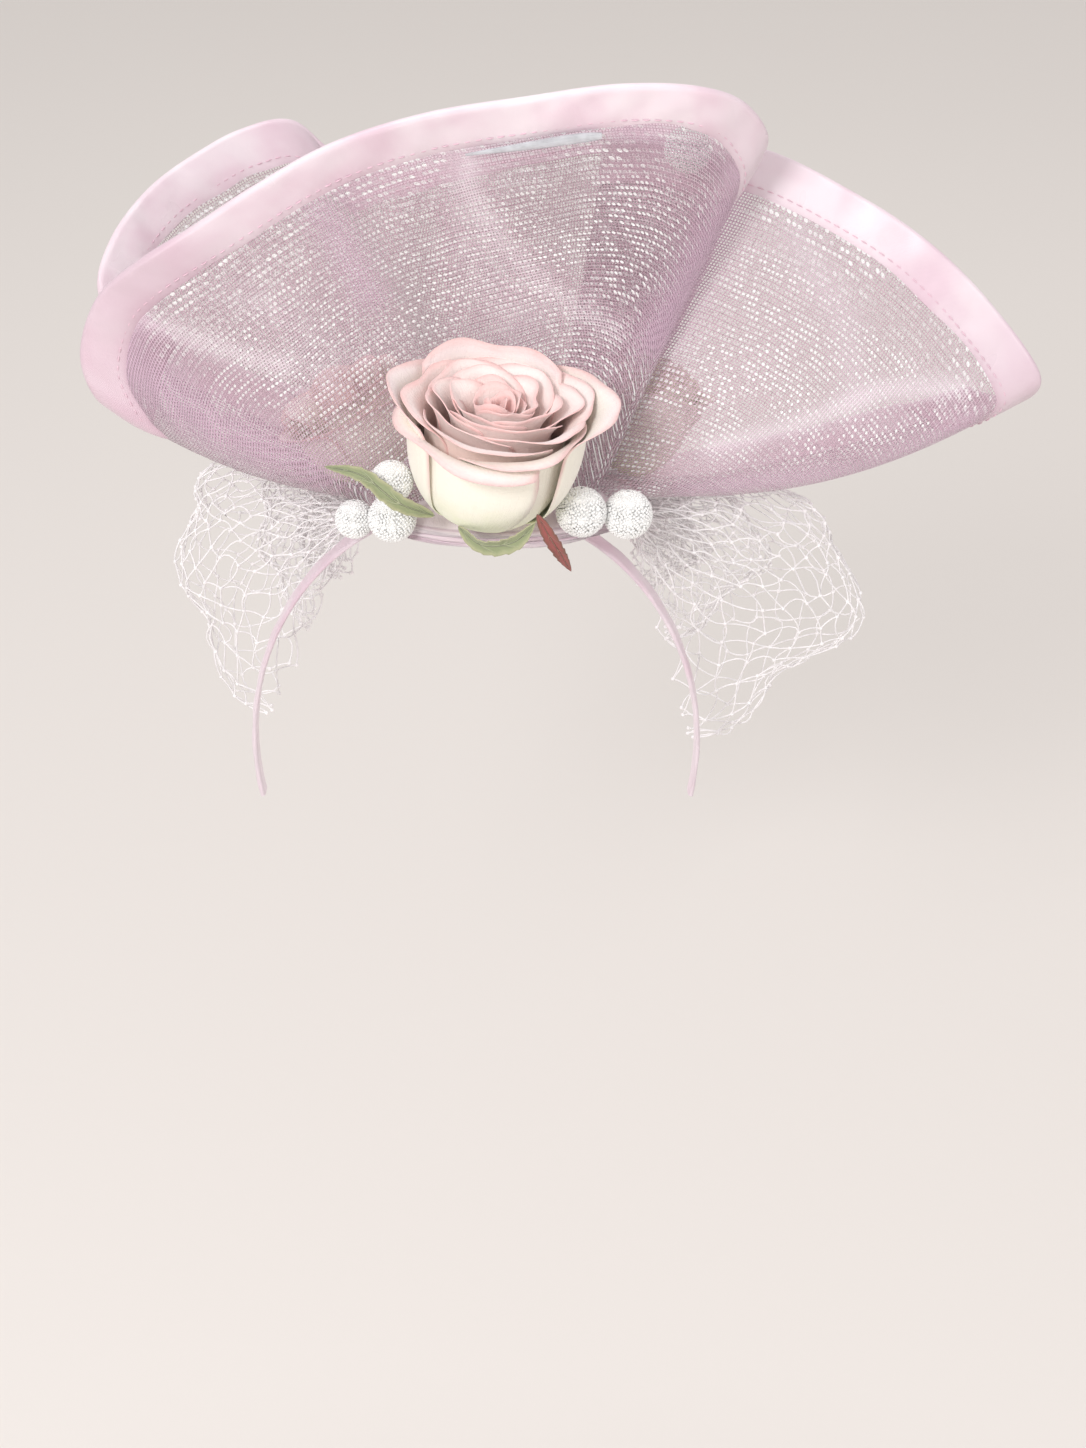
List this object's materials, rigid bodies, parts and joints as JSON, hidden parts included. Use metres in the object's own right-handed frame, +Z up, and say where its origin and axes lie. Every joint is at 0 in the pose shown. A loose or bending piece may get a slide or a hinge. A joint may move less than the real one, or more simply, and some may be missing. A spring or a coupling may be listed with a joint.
{
  "type": "fascinator",
  "caption": "Headband fascinator: folded open-weave brim with satin edges, silk roses, beaded balls and net veils on an oval base.",
  "frame": {"origin": "head_seat: the underside of the headband at the middle of its arch, where it rests on the crown of the head", "axes": "+X to the picture's right, +Y to the back of the head, +Z up"},
  "size_m": [0.3082, 0.1557, 0.2517],
  "materials": {
    "pink_satin": "glossy pale pink satin",
    "pink_crin": "open shiny mauve-pink crin weave",
    "cream_silk": "matte cream petals with pink edges",
    "blush_silk": "matte blush pink petals",
    "leaf_cloth": "matte olive green leaf cloth",
    "sepal_cloth": "matte dark red leaf cloth",
    "pearl_beads": "small glossy white beads",
    "net_thread": "pale pink net thread",
    "clear_glue": "clear set glue"
  },
  "bodies": {
    "root": {"headband": "pink_satin", "base": "pink_satin", "brim_front": "pink_crin", "brim_front_binding": "pink_satin", "brim_front_start_strip": "pink_satin", "brim_front_end_strip": "pink_satin", "brim_rear": "pink_crin", "brim_rear_binding": "pink_satin", "brim_rear_start_strip": "pink_satin", "brim_rear_end_strip": "pink_satin", "rose_front_outer": "cream_silk", "rose_front_inner": "blush_silk", "rose_front_heart": "blush_silk", "rose_left_outer": "cream_silk", "rose_left_heart": "blush_silk", "rose_right_outer": "cream_silk", "rose_right_heart": "cream_silk", "leaf": "leaf_cloth", "sepal_green": "leaf_cloth", "sepal_red": "sepal_cloth", "ball_right_inner": "pearl_beads", "ball_right_outer": "pearl_beads", "ball_left_inner": "pearl_beads", "ball_left_outer": "pearl_beads", "ball_left_upper": "pearl_beads", "ball_high": "pearl_beads", "glue_bead": "clear_glue", "veil_left": "net_thread", "veil_right": "net_thread"}
  },
  "joints": []
}
